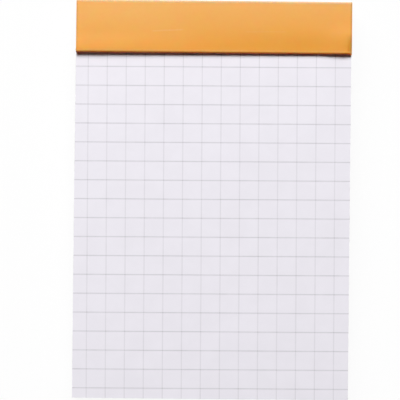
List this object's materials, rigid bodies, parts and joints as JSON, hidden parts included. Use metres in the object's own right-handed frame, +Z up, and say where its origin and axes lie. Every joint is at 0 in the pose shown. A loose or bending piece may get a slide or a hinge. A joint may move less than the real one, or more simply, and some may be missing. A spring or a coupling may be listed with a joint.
{
  "type": "stapled squared-paper notepad",
  "caption": "Pocket writing pad of squared paper, stapled at the head, with an orange card cover folded back over the head and lying behind the sheets.",
  "frame": {"origin": "middle of the pad's footprint, on the surface that the pad lies on", "axes": "+X across the pad to the reader's right, +Y along the pad to its stapled head, +Z up out of the first sheet"},
  "size_m": [0.073, 0.1054, 0.0115],
  "materials": {
    "paper": "smooth uncoated white paper",
    "ink": "pale violet-grey printed lines",
    "greyboard": "grey pasteboard",
    "cover_card": "orange coated card, satin",
    "staple_wire": "bright drawn wire"
  },
  "bodies": {
    "pad": {"sheets": "paper", "ruling": "ink", "backing_board": "greyboard", "cover_strip": "cover_card", "staple_left": "staple_wire", "staple_right": "staple_wire"},
    "cover_over_head": {"cover_head": "cover_card"},
    "cover_behind": {"cover_panel": "cover_card"}
  },
  "joints": [
    {"name": "front_fold", "type": "hinge", "parent": "pad", "child": "cover_over_head", "pos_m": [0, 0.0525, 0.01137], "axis": [1, 0, 0], "range_deg": [0, 90]},
    {"name": "back_fold", "type": "hinge", "parent": "cover_over_head", "child": "cover_behind", "pos_m": [0, 0.0525, 0.00017], "axis": [1, 0, 0], "range_deg": [0, 90]}
  ]
}
